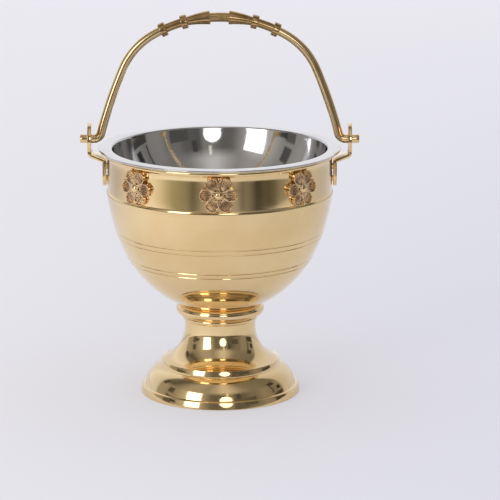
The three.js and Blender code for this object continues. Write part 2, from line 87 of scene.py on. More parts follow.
elevation = radians(CAMERA_ELEVATION_DEG)
camera_data = bpy.data.cameras.new("camera")
camera_data.lens = LENS
camera_data.sensor_width = SENSOR
camera_data.clip_start, camera_data.clip_end = map(mm, CLIP)
camera = bpy.data.objects.new("camera", camera_data)
back_off = Vector((0, -cos(elevation), sin(elevation))) * mm(CAMERA_DISTANCE)
camera.location = Vector(map(mm, TARGET)) + back_off
camera.rotation_euler = (pi / 2 - elevation, 0, 0)
bpy.context.scene.collection.objects.link(camera)
bpy.context.scene.camera = camera
bpy.context.scene.view_settings.view_transform = "Standard"
print("camera at", in_mm(camera.location))

# %% [markdown]
# A spun or turned piece is one outline swept round the axis. By hand that is a single vertex, extruded from
# point to point along half a section and then spun. The arcs and curves of the section come from small
# functions, so that a section is written with the few sizes that shape it.

# %% Sections and turning
WELD = 0.0005
SMOOTH_DEG = 28


def oval(middle, reach, rise, start_deg, end_deg, steps):
    """Points of an oval arc in (radius, height). Reach and rise are half its width and height."""
    turns = [radians(start_deg + (end_deg - start_deg) * i / steps) for i in range(steps + 1)]
    return [(middle[0] + reach * cos(a), middle[1] + rise * sin(a)) for a in turns]


def arc(middle, radius, start_deg, end_deg, steps):
    return oval(middle, radius, radius, start_deg, end_deg, steps)


def curve(points, steps):
    """Points of a Bezier curve with any number of control points."""
    found = []
    for i in range(steps + 1):
        row = [Vector(p) for p in points]
        while len(row) > 1:
            row = [a.lerp(b, i / steps) for a, b in zip(row, row[1:])]
        found.append(tuple(row[0]))
    return found


def apply_place(piece):
    select_only(piece)
    bpy.ops.object.transform_apply(location=True, rotation=True, scale=True)
    return piece


def finish_faces(piece, smooth_deg=SMOOTH_DEG):
    """Merges doubles, turns the faces outwards and smooths all but the crisp edges."""
    select_only(piece)
    bpy.ops.object.mode_set(mode="EDIT")
    bpy.ops.mesh.select_all(action="SELECT")
    bpy.ops.mesh.remove_doubles(threshold=mm(WELD))
    bpy.ops.mesh.normals_make_consistent(inside=False)
    bpy.ops.object.mode_set(mode="OBJECT")
    bpy.ops.object.shade_smooth_by_angle(angle=radians(smooth_deg))


def trace(name, outline):
    """A wire through points of (across, up) in millimetres, drawn in the XZ plane."""
    deselect()
    bpy.ops.mesh.primitive_plane_add(size=mm(1))
    piece = bpy.context.object
    piece.name = name
    bpy.ops.object.mode_set(mode="EDIT")
    bpy.ops.mesh.select_mode(type="VERT")
    bpy.ops.mesh.select_all(action="SELECT")
    bpy.ops.mesh.merge(type="CENTER")
    bpy.ops.transform.translate(value=(mm(outline[0][0]), 0, mm(outline[0][1])))
    for (x0, z0), (x1, z1) in zip(outline, outline[1:]):
        step = (mm(x1 - x0), 0, mm(z1 - z0))
        bpy.ops.mesh.extrude_region_move(TRANSFORM_OT_translate={"value": step})
    return piece


def turn(name, outline, steps, smooth_deg=SMOOTH_DEG):
    """Spins an outline of (radius, height) round the Z axis. One that doesn't end on the axis is closed."""
    on_axis = outline[0][0] == 0 and outline[-1][0] == 0
    piece = trace(name, outline if on_axis else [*outline, outline[0]])
    bpy.ops.mesh.select_all(action="SELECT")
    bpy.ops.mesh.spin(steps=steps, angle=2 * pi, center=(0, 0, 0), axis=(0, 0, 1))
    finish_faces(piece, smooth_deg)
    print(name, "has", len(piece.data.polygons), "faces")
    return piece


def seat(piece, body, *nodes, slot):
    """The piece rides on a body and stands for these nodes. The slot is not used."""
    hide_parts(*nodes)
    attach(piece, body)


print("a quarter turn in two steps:", arc((0, 0), 10, 0, 90, 2))

# %% [markdown]
# Foot. It is one disc of brass, spun over a form: a leaning band stands on the ground, a bulging flare rises
# to a low step, and a hollow sweep narrows to the neck. The inside is the same section, drawn in by the
# wall.

# %% Foot
ROUND_STEPS = 160
SWEEP_STEPS = 16
BORE_R = 3.3
FOOT_WALL = 1.2
BASE_INNER_R = 37.9
BASE_LOW = (40.5, 0.2)
BASE_LOW_ROUND = 0.2
BASE_HIGH = (39.3, 3.3)
BASE_HIGH_ROUND = 0.7
BASE_LEAN_DEG = 12.5
BASE_TOP_DEG = 80
FLARE = ((38.7, 4.15), (37.9, 6.7), (36.6, 11.8), (30.75, 14.1))
FLARE_INWARDS = ((-1, 0), (-1, -0.3), (-0.7, -0.8), (-1, -1))
STEP_HIGH_Z = 17.25
STEP_ROUND = 0.18
STEP_ROUND_FROM_DEG = 15
STEP_LEAN = 0.75
STEP_UPRIGHT = 0.35
NECK_R = 18.15
NECK_Z = 33
NECK_SWEEP = (19.7, 20.6)
FOOT_TOP_Z = 37.7


def foot_skin(inset):
    """The foot's section from the band up to the neck, drawn in by inset."""
    shifts = [Vector((across * inset, up * inset)) for across, up in FLARE_INWARDS]
    flare = [Vector(point) + shift for point, shift in zip(FLARE, shifts)]
    low_r, low_z = flare[-1]
    step_z = STEP_HIGH_Z - inset
    high_r = low_r - STEP_LEAN
    sweep = [
        (high_r - STEP_ROUND, step_z),
        (NECK_SWEEP[0] - inset, NECK_SWEEP[1] - inset),
        (NECK_R - inset, NECK_Z - inset),
    ]
    return [
        *curve(flare, SWEEP_STEPS),
        (low_r, low_z + STEP_UPRIGHT),
        *arc((high_r - STEP_ROUND, step_z - STEP_ROUND), STEP_ROUND, STEP_ROUND_FROM_DEG, 90, 4),
        *curve(sweep, SWEEP_STEPS)[1:],
    ]


foot_section = [
    (BASE_INNER_R, 0),
    *arc(BASE_LOW, BASE_LOW_ROUND, -90, BASE_LEAN_DEG, 6),
    *arc(BASE_HIGH, BASE_HIGH_ROUND, BASE_LEAN_DEG, BASE_TOP_DEG, 6),
    *foot_skin(0),
    (NECK_R, FOOT_TOP_Z),
    (BORE_R, FOOT_TOP_Z),
    (BORE_R, FOOT_TOP_Z - FOOT_WALL),
    (NECK_R - FOOT_WALL, FOOT_TOP_Z - FOOT_WALL),
    *reversed(foot_skin(FOOT_WALL)),
]
seat(turn("spun_foot", foot_section, ROUND_STEPS), "bucket", "foot", slot="spun_brass")

# %% [markdown]
# Collar. A small solid knop between foot and bowl, turned from bar: a thin bead with a fat bead over it, and
# a tight crease between the two where the tool went in. The crease stays sharp, because on such a mirror
# finish its dark line is all that parts the beads.

# %% Collar
SMALL_BEAD_R = 19.3
SMALL_BEAD_OUT = 0.95
SMALL_BEAD_H = 2.6
SMALL_BEAD_DEG = 80
BIG_BEAD_MIDDLE_R = 19.4
BIG_BEAD_OUT = 3.2
BIG_BEAD_H = 6.2
BIG_BEAD_DEG = 86
SEAT_Z = FOOT_TOP_Z + SMALL_BEAD_H + BIG_BEAD_H

small_middle = (SMALL_BEAD_R - SMALL_BEAD_OUT, FOOT_TOP_Z + SMALL_BEAD_H / 2)
small_bead = oval(small_middle, SMALL_BEAD_OUT, SMALL_BEAD_H / 2, -SMALL_BEAD_DEG, SMALL_BEAD_DEG, 10)
big_middle = (BIG_BEAD_MIDDLE_R, SEAT_Z - BIG_BEAD_H / 2)
big_bead = oval(big_middle, BIG_BEAD_OUT, BIG_BEAD_H / 2, -BIG_BEAD_DEG, BIG_BEAD_DEG, 22)
collar_section = [(BORE_R, FOOT_TOP_Z), *small_bead, *big_bead, (BORE_R, SEAT_Z)]
seat(turn("turned_collar", collar_section, ROUND_STEPS), "bucket", "collar", slot="turned_brass")

# %% [markdown]
# Outer bowl. A brass disc spun into a deep round bowl. An upright band under the rim carries the flowers, a
# rounded shoulder marks its lower edge, and two pairs of rings are engraved round the bowl. The rings are
# cut in the section itself, since a bump would not break the reflections as crisply as a groove does.

# %% Outer bowl
BOWL_STEPS = 192
BOWL_WALL = 1
SEAT_R = 21.5
SHOULDER = (57.5, 105)
SHOULDER_PULL = 31.3
SHOULDER_LEAN_DEG = 7.4
SEAT_PULL = 21.9
SEAT_RISE_DEG = 26.3
BAND_R = 56.9
BAND_LOW_Z = 105.7
RIM_Z = 124.4
RIM_ROUND = 1.4
RIM_FROM_DEG = -72
RIM_TO_DEG = 150
SIDE_STEPS = 56
HALVINGS = 40
RING_DROPS = (19.9, 22.4, 33.2, 35.5)
RING_CUT = ((-0.45, 0), (-0.3, 0.2), (0, 0.3), (0.3, 0.2), (0.45, 0))
SHOULDER_ROUND = 2.5
SHOULDER_TURN_DEG = 37
SHOULDER_OUT = 0.1
SHOULDER_DROP = 1.2
BAND_SHAPE = {0.1: 0, 2: 0.03, 5: 0.06, 8: 0.06, 11: 0.04, 13.5: 0.03, 15: 0.06, 16.2: 0.14, 17.1: 0.28}

lean = radians(SHOULDER_LEAN_DEG)
rise = radians(SEAT_RISE_DEG)
SIDE = [
    Vector(SHOULDER),
    Vector(SHOULDER) - Vector((sin(lean), cos(lean))) * SHOULDER_PULL,
    Vector((SEAT_R, SEAT_Z)) + Vector((cos(rise), sin(rise))) * SEAT_PULL,
    Vector((SEAT_R, SEAT_Z)),
]


def on_side(t, inset):
    """A point of the bowl's side, drawn in by inset. t runs from the shoulder to the seat."""
    a, b, c, d = SIDE
    s = 1 - t
    point = a * s**3 + b * 3 * s * s * t + c * 3 * s * t * t + d * t**3
    along = ((b - a) * s * s + (c - b) * 2 * s * t + (d - c) * t * t).normalized()
    return tuple(point + Vector((along.y, -along.x)) * inset)


def share_at_drop(drop):
    """The share of the bowl's side above a drop from the shoulder, found by halving."""
    low, high = 0.0, 1.0
    for _ in range(HALVINGS):
        middle = (low + high) / 2
        if SHOULDER[1] - on_side(middle, 0)[1] < drop:
            low = middle
        else:
            high = middle
    return low


side_shares = [i / SIDE_STEPS for i in range(SIDE_STEPS + 1)]
ring_shares = [[(share_at_drop(drop + off), cut) for off, cut in RING_CUT] for drop in RING_DROPS]
shoulder_share = share_at_drop(SHOULDER_DROP)
clear = [
    t
    for t in side_shares
    if t > shoulder_share and all(not ring[0][0] <= t <= ring[-1][0] for ring in ring_shares)
]
shoulder_turn = radians(SHOULDER_TURN_DEG)
shoulder_middle = (
    BAND_R + SHOULDER_OUT - SHOULDER_ROUND * cos(shoulder_turn),
    BAND_LOW_Z - SHOULDER_ROUND * sin(shoulder_turn),
)
outside_shares = [(t, 0) for t in clear] + [pair for ring in ring_shares for pair in ring]
bowl_section = [
    (BORE_R, SEAT_Z),
    *[on_side(t, cut) for t, cut in sorted(outside_shares, reverse=True)],
    *arc(shoulder_middle, SHOULDER_ROUND, -SHOULDER_LEAN_DEG, SHOULDER_TURN_DEG, 10),
    *[(BAND_R + out, BAND_LOW_Z + up) for up, out in BAND_SHAPE.items()],
    *arc((BAND_R, RIM_Z), RIM_ROUND, RIM_FROM_DEG, RIM_TO_DEG, 18),
    (BAND_R - BOWL_WALL, RIM_Z),
    (BAND_R - BOWL_WALL, BAND_LOW_Z),
    *[on_side(t, BOWL_WALL) for t in side_shares],
    (BORE_R, SEAT_Z + BOWL_WALL),
]
seat(turn("spun_bowl", bowl_section, BOWL_STEPS), "bucket", "outer_bowl", slot="spun_brass")

# %% [markdown]
# Liner. A steel cup that lifts out, spun and polished bright. It is part of a ball whose middle lies a
# little above the rim, so its wall leans outwards all the way up. A tight corner turns it into a flat
# flange, which rests over the brass rim and mirrors whatever is behind the bucket.

# %% Liner
LINER_WALL = 0.8
LINER_MIDDLE_Z = 134.4
LINER_OUT_R = 55.79
LINER_RIM_R = 55.13
LINER_FLOOR_DEG = 10.3
LINER_RIM_DEG = 81.1
FLANGE_UNDER_Z = 126.1
FLANGE_R = 61.3
FLANGE_CORNER = 1.1


def liner_skin(inset):
    """The liner's section from its floor to the flange, drawn in by inset."""
    cup = arc((0, LINER_MIDDLE_Z), LINER_OUT_R - inset, LINER_FLOOR_DEG - 90, LINER_RIM_DEG - 90, 64)
    end_r, end_z = cup[-1]
    flange_z = FLANGE_UNDER_Z + inset
    lean_in = end_r + (flange_z - end_z) / tan(radians(LINER_RIM_DEG))
    corner = [cup[-1], (lean_in, flange_z), (LINER_RIM_R + FLANGE_CORNER - inset, flange_z)]
    return [*cup, *curve(corner, 8)[1:]]


inside = liner_skin(LINER_WALL)
flange_middle = (FLANGE_R - LINER_WALL / 2, FLANGE_UNDER_Z + LINER_WALL / 2)
liner_section = [
    (0, liner_skin(0)[0][1]),
    *liner_skin(0),
    *arc(flange_middle, LINER_WALL / 2, -90, 90, 10),
    *reversed(inside),
    (0, inside[0][1]),
]
seat(turn("steel_liner", liner_section, BOWL_STEPS), "liner", "liner", slot="liner_steel")

# %% [markdown]
# Ears. Each is one strip of brass: a strap riveted flat on the band, a crank that carries it out past the
# lip, and an upright eye for the bail. The strip is drawn from its edge with its bends, extruded to its
# width, and then stamped out through its front outline, as a press would do it. A small bevel breaks the
# edges.

# %% Ears
STRIP_T = 1.9
STRIP_W = 11.8
STRAP_MIDDLE_X = 58.25
EYE_MIDDLE_X = 65.7
STRAP_FOOT_Z = 107
CRANK_LOW = 120.6
CRANK_HIGH = 123.6
EYE_R = 8.2
PIN_Z = 131.1
EYE_HOLE_R = 2.5
RIVET_HEIGHTS = (110.9, 117.1)
RIVET_R = 1.5
RIVET_GAP = 0.07
BEND_ROUND = 1.7
EDGE_BREAK = 0.3
SPARE = 1
STAMP_X = 62
STAMP_DEPTH = 40
EYE_DRILL_L = 10
RIVET_DRILL_L = 4


def bent_line(corners, radius, steps):
    """A line's points, with each inner corner replaced by an arc of that radius."""
    points = [Vector(corners[0])]
    for before, corner, after in zip(corners, corners[1:], corners[2:]):
        into = (Vector(corner) - Vector(before)).normalized()
        out = (Vector(after) - Vector(corner)).normalized()
        turn_angle = into.angle(out)
        reach = radius * tan(turn_angle / 2)
        start, end = Vector(corner) - into * reach, Vector(corner) + out * reach
        weight = cos(turn_angle / 2)
        for i in range(steps + 1):
            t = i / steps
            a, b, c = (1 - t) ** 2, 2 * t * (1 - t) * weight, t * t
            points.append((start * a + Vector(corner) * b + end * c) / (a + b + c))
    return [*points, Vector(corners[-1])]


def beside(line, offset):
    """The same line moved sideways by offset."""
    moved = []
    for i, point in enumerate(line):
        along = (line[min(i + 1, len(line) - 1)] - line[max(i - 1, 0)]).normalized()
        moved.append(tuple(point + Vector((along.y, -along.x)) * offset))
    return moved


def slab(name, outline, depth):
    """A closed outline in the XZ plane, filled and extruded both ways to a depth."""
    piece = trace(name, outline)
    bpy.ops.mesh.select_all(action="SELECT")
    bpy.ops.mesh.edge_face_add()
    bpy.ops.transform.translate(value=(0, -mm(depth / 2), 0))
    bpy.ops.mesh.extrude_region_move(TRANSFORM_OT_translate={"value": (0, mm(depth), 0)})
    bpy.ops.mesh.select_all(action="SELECT")
    bpy.ops.mesh.normals_make_consistent(inside=False)
    bpy.ops.object.mode_set(mode="OBJECT")
    return piece


def apply_modifier(piece, kind, **settings):
    select_only(piece)
    modifier = piece.modifiers.new(kind.lower(), kind)
    for setting, value in settings.items():
        setattr(modifier, setting, value)
    bpy.ops.object.modifier_apply(modifier=modifier.name)


def break_edges(piece, width, segments, angle_deg):
    """Rounds every edge that turns by more than an angle."""
    limit = {"limit_method": "ANGLE", "angle_limit": radians(angle_deg)}
    apply_modifier(piece, "BEVEL", width=mm(width), segments=segments, **limit)


def cut(piece, cutter, operation):
    """Applies a boolean and removes the cutter."""
    apply_modifier(piece, "BOOLEAN", operation=operation, object=cutter, solver="EXACT")
    bpy.data.objects.remove(cutter)


def rod_along_x(radius, middle_x, z, length, vertices=48):
    deselect()
    bpy.ops.mesh.primitive_cylinder_add(
        vertices=vertices,
        radius=mm(radius),
        depth=mm(length),
        location=(mm(middle_x), 0, mm(z)),
        rotation=(0, pi / 2, 0),
    )
    return apply_place(bpy.context.object)


def copy_turned(piece, name, angle_deg, axis=2):
    """A copy with its own mesh, turned round X, Y or Z, which are axis 0, 1 and 2."""
    twin = piece.copy()
    twin.data = piece.data.copy()
    twin.name = name
    bpy.context.scene.collection.objects.link(twin)
    twin.rotation_euler[axis] = radians(angle_deg)
    return apply_place(twin)


strip_corners = [
    (STRAP_MIDDLE_X, STRAP_FOOT_Z - SPARE),
    (STRAP_MIDDLE_X, CRANK_LOW),
    (EYE_MIDDLE_X, CRANK_HIGH),
    (EYE_MIDDLE_X, PIN_Z + EYE_R + SPARE),
]
strip_line = bent_line(strip_corners, BEND_ROUND, 8)
strip_outline = [*beside(strip_line, STRIP_T / 2), *reversed(beside(strip_line, -STRIP_T / 2))]
ear = slab("ear_right_fine", strip_outline, 2 * EYE_R + 4 * SPARE)

half_w = STRIP_W / 2
join_deg = degrees(acos(half_w / EYE_R))
face_outline = [
    *arc((0, STRAP_FOOT_Z + half_w), half_w, 180, 360, 32),
    *arc((0, PIN_Z), EYE_R, -join_deg, 180 + join_deg, 56),
]
stamp = slab("stamp", face_outline, STAMP_DEPTH)
stamp.rotation_euler.z = pi / 2
stamp.location.x = mm(STAMP_X)
cut(ear, apply_place(stamp), "INTERSECT")
cut(ear, rod_along_x(EYE_HOLE_R, EYE_MIDDLE_X, PIN_Z, EYE_DRILL_L), "DIFFERENCE")
for height in RIVET_HEIGHTS:
    drill = rod_along_x(RIVET_R + RIVET_GAP, STRAP_MIDDLE_X, height, RIVET_DRILL_L, 32)
    cut(ear, drill, "DIFFERENCE")
break_edges(ear, EDGE_BREAK, 3, 50)
finish_faces(ear)
ear_left = copy_turned(ear, "ear_left_fine", 180)
seat(ear, "bucket", "ear_right", slot="turned_brass")
seat(ear_left, "bucket", "ear_left", slot="turned_brass")
print("ear faces", len(ear.data.polygons))

# %% [markdown]
# Ear rivets. Soft brass rivets, two an ear, hammered flat and dressed flush with the strap. Only a fine
# round line shows outside, and inside the band a flat head.

# %% Ear rivets
RIVET_TAIL_R = 2.4
RIVET_TAIL_T = 0.8
RIVET_FROM = 54.63
RIVET_TO = 59.2
RIVET_TAIL_BREAK = 0.2
RIVET_HEAD_BREAK = 0.12
RIVET_CROWN = 0.02
RIVET_FLAT_R = 0.9


def turn_outwards(name, outline, steps, height):
    """Turns an outline of (radius, distance from the axis) and lays it along +X at a height."""
    piece = turn(name, outline, steps)
    piece.rotation_euler.y = pi / 2
    piece.location.z = mm(height)
    return apply_place(piece)


rivet_section = [
    (0, RIVET_FROM),
    (RIVET_TAIL_R - RIVET_TAIL_BREAK, RIVET_FROM),
    (RIVET_TAIL_R, RIVET_FROM + RIVET_TAIL_BREAK),
    (RIVET_TAIL_R, RIVET_FROM + RIVET_TAIL_T),
    (RIVET_R, RIVET_FROM + RIVET_TAIL_T),
    (RIVET_R, RIVET_TO - RIVET_HEAD_BREAK),
    (RIVET_R - RIVET_HEAD_BREAK, RIVET_TO - RIVET_CROWN),
    (RIVET_FLAT_R, RIVET_TO),
    (0, RIVET_TO),
]
for rank, height in zip(("lower", "upper"), RIVET_HEIGHTS):
    right = turn_outwards(f"rivet_right_{rank}", rivet_section, 40, height)
    left = copy_turned(right, f"rivet_left_{rank}", 180)
    seat(right, "bucket", f"ear_rivet_right_{rank}", slot="turned_brass")
    seat(left, "bucket", f"ear_rivet_left_{rank}", slot="turned_brass")

# %% [markdown]
# Rosettes. Small cast flowers of six petals. Each petal is a drop with a raised round border, and ribs fan
# out over its sunk field. They are drawn coarser than on a real casting, so that they show. One petal is
# built from a drawn drop, a cut for the field and a few bars for the ribs. Six turned copies and a middle
# disc are then melted into one skin by a voxel remesh, the way a casting runs together, and the flower is
# bent to the band.

# %% Rosettes
ROSETTE_Z = 114.35
ROSETTE_BACK_R = 57.2
PETALS = 6
DROP_MIDDLE = 6.15
DROP_ROUND = 3.15
DROP_TIP = 0.4
PETAL_T = 2.05
FIELD_T = 1
FIELD_TIP = 2.2
BORDER_W = 0.52
BORDER_ROUND = 0.22
RIBS = 6
RIB_FAN_DEG = 42
RIB_W = 0.56
RIB_H = 1.2
RIB_L = 5.6
RIB_MIDDLE = 5.85
DISC_SECTION = (
    (0, 0), (6.2, 0), (6, 0.7), (4.2, 0.8), (3.5, 1.55), (3.15, 1.6), (2.9, 1.45), (2.75, 0.9), (0, 0.9),
)
CASTING_VOXEL = 0.1
ROSETTES = {
    "front_left": -135, "front_middle": -90, "front_right": -45,
    "back_right": 45, "back_middle": 90, "back_left": 135,
}


def drop_outline(middle, radius, tip):
    """A round-ended drop that lies along +X, with its tip towards the flower's middle."""
    reach_deg = 90 + degrees(asin(radius / (middle - tip)))
    return [(tip, 0), *arc((middle, 0), radius, -reach_deg, reach_deg, 40)]


def rib(height, turn_deg):
    """A round bar that lies along +X from the flower's middle, turned to its angle."""
    deselect()
    bpy.ops.mesh.primitive_cylinder_add(
        vertices=20,
        radius=mm(RIB_W / 2),
        depth=mm(RIB_L),
        location=(mm(RIB_MIDDLE), mm(-height), 0),
        rotation=(0, pi / 2, 0),
    )
    bar = bpy.context.object
    bar.scale.y = RIB_H / RIB_W
    apply_place(bar)
    bar.rotation_euler.y = radians(turn_deg)
    return apply_place(bar)


def build_petal():
    drop = slab("petal", drop_outline(DROP_MIDDLE, DROP_ROUND, DROP_TIP), PETAL_T)
    drop.location.y = mm(-PETAL_T / 2)
    apply_place(drop)
    hollow = slab("hollow", drop_outline(DROP_MIDDLE, DROP_ROUND - BORDER_W, FIELD_TIP), PETAL_T)
    hollow.location.y = mm(-FIELD_T - PETAL_T / 2)
    cut(drop, apply_place(hollow), "DIFFERENCE")
    break_edges(drop, BORDER_ROUND, 4, 60)
    ribs = [rib(FIELD_T, RIB_FAN_DEG * (i / (RIBS - 1) - 0.5)) for i in range(RIBS)]
    select_only(drop, *ribs)
    bpy.ops.object.join()
    return drop


petal = build_petal()
petals = [copy_turned(petal, f"petal_{i}", 360 / PETALS * i, axis=1) for i in range(1, PETALS)]
disc = turn("middle_disc", DISC_SECTION, 64)
disc.rotation_euler.x = pi / 2
apply_place(disc)
flower = select_only(petal, *petals, disc)
bpy.ops.object.join()
flower.name = "rosette_master"
apply_modifier(flower, "REMESH", mode="VOXEL", voxel_size=mm(CASTING_VOXEL), use_smooth_shade=True)
apply_modifier(flower, "SMOOTH", factor=0.4, iterations=1)
print("rosette faces", len(flower.data.polygons))
bend_angle = flower.dimensions.x / mm(ROSETTE_BACK_R)
apply_modifier(flower, "SIMPLE_DEFORM", deform_method="BEND", deform_axis="Z", angle=bend_angle)
tip_y = max((v.co for v in flower.data.vertices), key=lambda co: co.x).y
print("a petal's tip lies at y", round(1000 * tip_y, 2), "mm")

# %% [markdown]
# The flower now goes to the front of the band, and its six turned copies round it. Each is held by one pin
# with a domed and polished head, which makes the bright bead in the middle of the flower.

# %% Rosettes and their pins in place
PIN_HEAD_R = 2.25
PIN_HEAD_H = 1.8
PIN_SHANK_R = 1
PIN_HEAD_LIFT = 0.15
PIN_HEAD_FROM_DEG = -8
PIN_TAIL_R = 1.9
PIN_TAIL_T = 0.7
PIN_FROM = 54.73
PIN_SEAT_H = 1.3
PIN_SEAT_R = ROSETTE_BACK_R + PIN_SEAT_H

flower.location = (0, mm(-ROSETTE_BACK_R), mm(ROSETTE_Z))
apply_place(flower)
dome_middle = (0, PIN_SEAT_R + PIN_HEAD_LIFT)
pin_section = [
    (0, PIN_FROM),
    (PIN_TAIL_R, PIN_FROM),
    (PIN_TAIL_R, PIN_FROM + PIN_TAIL_T),
    (PIN_SHANK_R, PIN_FROM + PIN_TAIL_T),
    (PIN_SHANK_R, PIN_SEAT_R),
    *oval(dome_middle, PIN_HEAD_R, PIN_HEAD_H - PIN_HEAD_LIFT, PIN_HEAD_FROM_DEG, 90, 14)[:-1],
    (0, PIN_SEAT_R + PIN_HEAD_H),
]
pin = turn_outwards("pin_master", pin_section, 48, ROSETTE_Z)
for place, angle in ROSETTES.items():
    rosette = copy_turned(flower, f"rosette_{place}_fine", angle + 90)
    seat(rosette, "bucket", f"rosette_{place}", slot="cast_bronze")
    head = copy_turned(pin, f"pin_{place}_fine", angle)
    seat(head, "bucket", f"rosette_pin_{place}", slot="turned_brass")
bpy.data.objects.remove(flower)
bpy.data.objects.remove(pin)

# %% [markdown]
# Bail arms. Each is a round brass rod, bent as on a bench: a straight pin, a tight bend, a long slow leg, a
# rounder hip and the crown. In Blender the end ring of the rod is extruded for the pin, and then spun about
# the middle of each bend in turn.

# %% Bail arms
ROD_R = 2.2
PIN_END_X = 70.5
PIN_END_BREAK = 0.35
PIN_END_GROWTH = ((0.12, 1.11), (0.25, 1.07))
PIN_TIP_L = 2
BEND_R = 3.5
CROWN_DEG = 30
HIP_DEG = 67
LEG_DEG = 75.2
HIP_SHARE = 0.551
LEG_SHARE = 3.664
BEND_START_X = 63.4
SOCKET_S = 28.4
SOCKET_GAP = 0.3
ROD_SMOOTH_DEG = 40

crown_turn, hip_turn, leg_turn = (radians(turn_deg) for turn_deg in (CROWN_DEG, HIP_DEG, LEG_DEG))
reach_share = (
    sin(crown_turn)
    + HIP_SHARE * (sin(hip_turn) - sin(crown_turn))
    + LEG_SHARE * (sin(leg_turn) - sin(hip_turn))
)
CROWN_R = (BEND_START_X - BEND_R * sin(leg_turn)) / reach_share
HIP_R = HIP_SHARE * CROWN_R
LEG_R = LEG_SHARE * CROWN_R
leg_low_z = PIN_Z + BEND_R * (1 - cos(leg_turn))
hip_low_z = leg_low_z + LEG_R * (cos(hip_turn) - cos(leg_turn))
crown_low_z = hip_low_z + HIP_R * (cos(crown_turn) - cos(hip_turn))
CROWN_MIDDLE_Z = crown_low_z - CROWN_R * cos(crown_turn)


def from_crown(turn_angle, distance):
    """A step of that distance, along a direction turned from straight up towards +X."""
    return Vector((sin(turn_angle), cos(turn_angle))) * distance


hip_middle = Vector((0, CROWN_MIDDLE_Z)) + from_crown(crown_turn, CROWN_R - HIP_R)
leg_middle = hip_middle + from_crown(hip_turn, HIP_R - LEG_R)
bend_middle = leg_middle + from_crown(leg_turn, LEG_R + BEND_R)
top_deg = degrees((SOCKET_S + SOCKET_GAP) / CROWN_R)


def spin_about(middle, angle_deg, steps):
    """Sweeps the selected end ring about a bend's middle. A positive angle turns from +X towards +Z."""
    bpy.ops.mesh.spin(
        steps=steps,
        angle=radians(angle_deg),
        center=(mm(middle.x), 0, mm(middle.y)),
        axis=(0, 1, 0),
    )


deselect()
bpy.ops.mesh.primitive_circle_add(
    vertices=40,
    radius=mm(ROD_R - PIN_END_BREAK),
    fill_type="NGON",
    location=(mm(PIN_END_X), 0, mm(PIN_Z)),
    rotation=(0, pi / 2, 0),
)
arm = apply_place(bpy.context.object)
arm.name = "arm_right_fine"
bpy.ops.object.mode_set(mode="EDIT")
bpy.ops.mesh.select_mode(type="EDGE")
bpy.ops.mesh.select_all(action="SELECT")
bpy.ops.mesh.region_to_loop()
for inwards, grown in PIN_END_GROWTH:
    bpy.ops.mesh.extrude_edges_move(TRANSFORM_OT_translate={"value": (-mm(inwards), 0, 0)})
    bpy.ops.transform.resize(value=(1, grown, grown), center_override=(mm(PIN_END_X), 0, mm(PIN_Z)))
end_l = sum(inwards for inwards, _ in PIN_END_GROWTH)
for straight in (PIN_TIP_L, PIN_END_X - end_l - PIN_TIP_L - bend_middle.x):
    bpy.ops.mesh.extrude_edges_move(TRANSFORM_OT_translate={"value": (-mm(straight), 0, 0)})
spin_about(bend_middle, -LEG_DEG, 16)
spin_about(leg_middle, LEG_DEG - HIP_DEG, 14)
spin_about(hip_middle, HIP_DEG - CROWN_DEG, 14)
spin_about(Vector((0, CROWN_MIDDLE_Z)), CROWN_DEG - top_deg, 4)
bpy.ops.mesh.edge_face_add()
bpy.ops.object.mode_set(mode="OBJECT")
finish_faces(arm, ROD_SMOOTH_DEG)
arm_left = copy_turned(arm, "arm_left_fine", 180)
seat(arm, "bail", "bail_arm_right", slot="rod_brass")
seat(arm_left, "bail", "bail_arm_left", slot="rod_brass")
print("crown radius", round(CROWN_R, 2), "arm reaches", in_mm(arm.dimensions))

# %% [markdown]
# Grip. One turned piece joins the arms: two rings each side and two cones that meet at the crown. It was
# turned straight and bent afterwards, and it is made so here, with the same bend as the rod.

# %% Grip
RING_R = 3.55
RING_L = 3.2
OUTER_RING_S = 29.2
INNER_RING_S = 17.9
CONE_S = 4.7
CONE_R = 3.5
CONE_ROUND = 0.4
CONE_ROUND_DEG = (-60, 10)
CONE_START = 0.5
MIDDLE_R = 2.35
MIDDLE_STATIONS = (1.6, 3.2, CONE_S)
RING_ROUND = 0.35
SLEEVE_T = 0.3
GRIP_SMOOTH_DEG = 35


def ring_bead(middle):
    """A turned ring with rounded edges on a rod, as (radius, distance along)."""
    low, high = middle - RING_L / 2, middle + RING_L / 2
    return [
        (ROD_R, low),
        *arc((RING_R - RING_ROUND, low + RING_ROUND), RING_ROUND, -90, 0, 5),
        *arc((RING_R - RING_ROUND, high - RING_ROUND), RING_ROUND, 0, 90, 5),
        (ROD_R, high),
    ]


def along(start, end, radius_start, radius_end, steps):
    """Points between two stations, without the two ends."""
    return [
        (radius_start + (radius_end - radius_start) * i / steps, start + (end - start) * i / steps)
        for i in range(1, steps)
    ]


inner_ring_in = INNER_RING_S - RING_L / 2
inner_ring_out = INNER_RING_S + RING_L / 2
outer_ring_in = OUTER_RING_S - RING_L / 2
outer_ring_out = OUTER_RING_S + RING_L / 2
half_grip = [
    *[(MIDDLE_R, station) for station in MIDDLE_STATIONS],
    (CONE_R - CONE_ROUND, CONE_S),
    *arc((CONE_R - CONE_ROUND, CONE_S + CONE_ROUND), CONE_ROUND, *CONE_ROUND_DEG, 4),
    *along(CONE_S + CONE_START, inner_ring_in, CONE_R, ROD_R, 8),
    *ring_bead(INNER_RING_S),
    *along(inner_ring_out, outer_ring_in, ROD_R, ROD_R, 6),
    *ring_bead(OUTER_RING_S),
    (ROD_R + SLEEVE_T, outer_ring_out),
    (ROD_R + SLEEVE_T, SOCKET_S),
    (0, SOCKET_S),
]
grip_section = [*[(r, -s) for r, s in reversed(half_grip)], (MIDDLE_R, 0), *half_grip]
